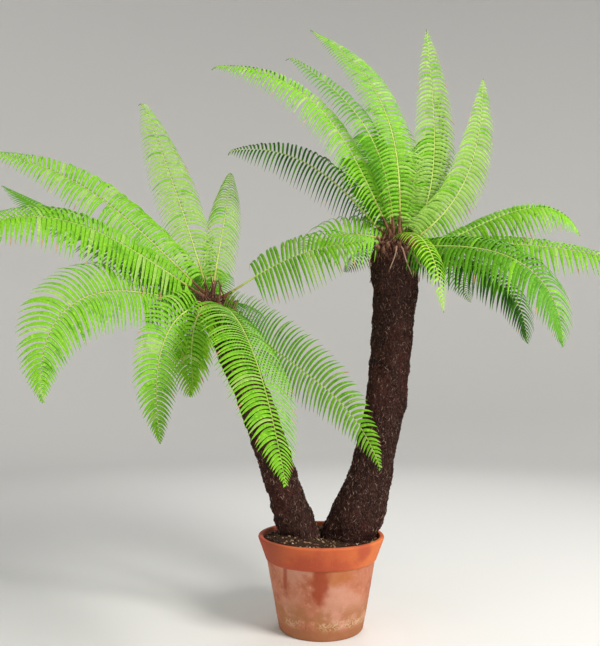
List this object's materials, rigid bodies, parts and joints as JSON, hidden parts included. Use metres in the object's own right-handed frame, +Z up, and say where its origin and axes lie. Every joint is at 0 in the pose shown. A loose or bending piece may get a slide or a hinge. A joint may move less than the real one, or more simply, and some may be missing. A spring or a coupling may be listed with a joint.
{
  "type": "potted tree fern",
  "caption": "Potted dwarf tree fern: dark fibrous trunks lean apart from one terracotta pot, each crowned with long arching fronds of narrow leaflets.",
  "frame": {"origin": "centre of the pot's flat underside", "axes": "+Z up the plant, +X to the right and +Y away from the viewer, as the picture shows it"},
  "size_m": [1.8685, 1.2472, 1.8352],
  "materials": {
    "terracotta": "matte",
    "potting_mix": "matte",
    "root_mantle": "matte",
    "frond_leaf": "satin"
  },
  "bodies": {
    "root": {"pot": "terracotta", "soil": "potting_mix", "left_trunk": "root_mantle", "right_trunk": "root_mantle", "left_arching_frond_base": "frond_leaf", "left_arching_frond_tip": "frond_leaf", "left_drooping_frond_base": "frond_leaf", "left_drooping_frond_tip": "frond_leaf", "left_drooping_front_frond": "frond_leaf", "left_drooping_middle_frond": "frond_leaf", "left_drooping_right_frond": "frond_leaf", "left_drooping_small_frond_base": "frond_leaf", "left_drooping_small_frond_tip": "frond_leaf", "left_reaching_behind_frond": "frond_leaf", "left_reaching_high_frond": "frond_leaf", "left_reaching_low_frond": "frond_leaf", "left_rear_left_frond": "frond_leaf", "left_rear_low_frond": "frond_leaf", "left_rear_right_frond": "frond_leaf", "left_rear_short_frond": "frond_leaf", "left_short_upright_frond": "frond_leaf", "left_thin_stalk_frond": "frond_leaf", "left_upright_frond": "frond_leaf", "right_arching_right_frond_base": "frond_leaf", "right_arching_right_frond_tip": "frond_leaf", "right_curled_top_frond_base": "frond_leaf", "right_curled_top_frond_tip": "frond_leaf", "right_drooping_right_frond": "frond_leaf", "right_drooping_under_frond": "frond_leaf", "right_level_right_frond": "frond_leaf", "right_long_left_frond": "frond_leaf", "right_low_left_frond": "frond_leaf", "right_rear_high_frond": "frond_leaf", "right_rear_left_frond": "frond_leaf", "right_rear_low_frond": "frond_leaf", "right_rear_low_left_frond": "frond_leaf", "right_rear_right_frond": "frond_leaf", "right_rear_tall_frond": "frond_leaf", "right_rear_upright_frond": "frond_leaf", "right_shaded_left_frond": "frond_leaf", "right_slim_left_frond": "frond_leaf", "right_slim_right_frond": "frond_leaf", "right_small_front_frond_base": "frond_leaf", "right_small_front_frond_tip": "frond_leaf", "right_tall_left_frond": "frond_leaf", "right_tall_right_frond": "frond_leaf", "right_tallest_frond": "frond_leaf"}
  },
  "joints": []
}
